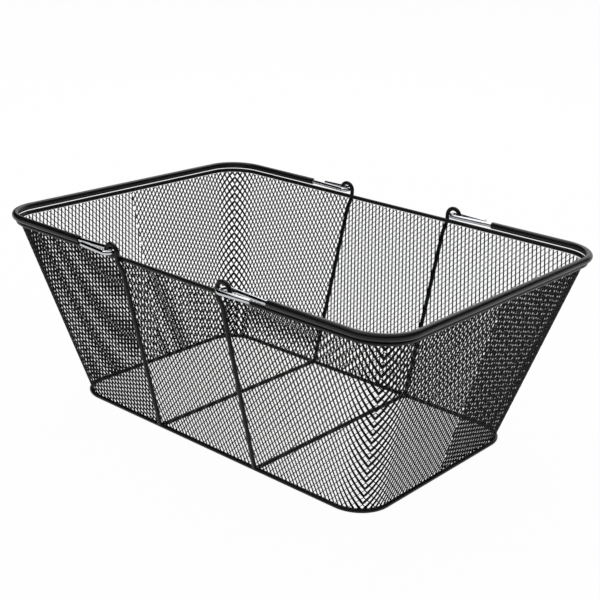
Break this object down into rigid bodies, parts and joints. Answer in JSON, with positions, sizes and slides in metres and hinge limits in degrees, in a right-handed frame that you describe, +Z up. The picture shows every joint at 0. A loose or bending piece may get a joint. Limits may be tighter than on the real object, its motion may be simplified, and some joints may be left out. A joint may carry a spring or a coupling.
{
  "type": "wire shopping basket",
  "caption": "Flared rectangular shopping basket of black wire and diamond mesh, with folding hooked handles that lie out along the rim.",
  "frame": {"origin": "middle of the basket's footprint, on the surface that it stands on", "axes": "+X along the long side, +Y across it, +Z up; the two handles fold out towards -X and +X"},
  "size_m": [0.4402, 0.3226, 0.18],
  "materials": {
    "frame_paint": "semi-gloss black paint on round steel wire",
    "mesh_paint": "semi-gloss black paint on expanded steel mesh",
    "handle_chrome": "bright chromed steel wire",
    "grip_sleeve": "smooth black vinyl sleeve"
  },
  "bodies": {
    "basket": {"rim_wire": "frame_paint", "base_ring": "frame_paint", "front_left_post": "frame_paint", "front_right_post": "frame_paint", "rear_left_post": "frame_paint", "rear_right_post": "frame_paint", "left_cross_wire": "frame_paint", "right_cross_wire": "frame_paint", "front_left_mesh": "mesh_paint", "front_right_mesh": "mesh_paint", "rear_left_mesh": "mesh_paint", "rear_right_mesh": "mesh_paint", "left_front_mesh": "mesh_paint", "left_rear_mesh": "mesh_paint", "right_front_mesh": "mesh_paint", "right_rear_mesh": "mesh_paint", "floor_mesh": "mesh_paint"},
    "left_handle": {"left_handle_wire": "handle_chrome", "left_grip": "grip_sleeve"},
    "right_handle": {"right_handle_wire": "handle_chrome", "right_grip": "grip_sleeve"}
  },
  "joints": [
    {"name": "left_handle_swing", "type": "hinge", "parent": "basket", "child": "left_handle", "pos_m": [-0.0612, 0, 0.17195], "axis": [0, 1, 0], "range_deg": [0, 111.7]},
    {"name": "right_handle_swing", "type": "hinge", "parent": "basket", "child": "right_handle", "pos_m": [0.0612, 0, 0.17195], "axis": [0, -1, 0], "range_deg": [0, 111.7]}
  ]
}
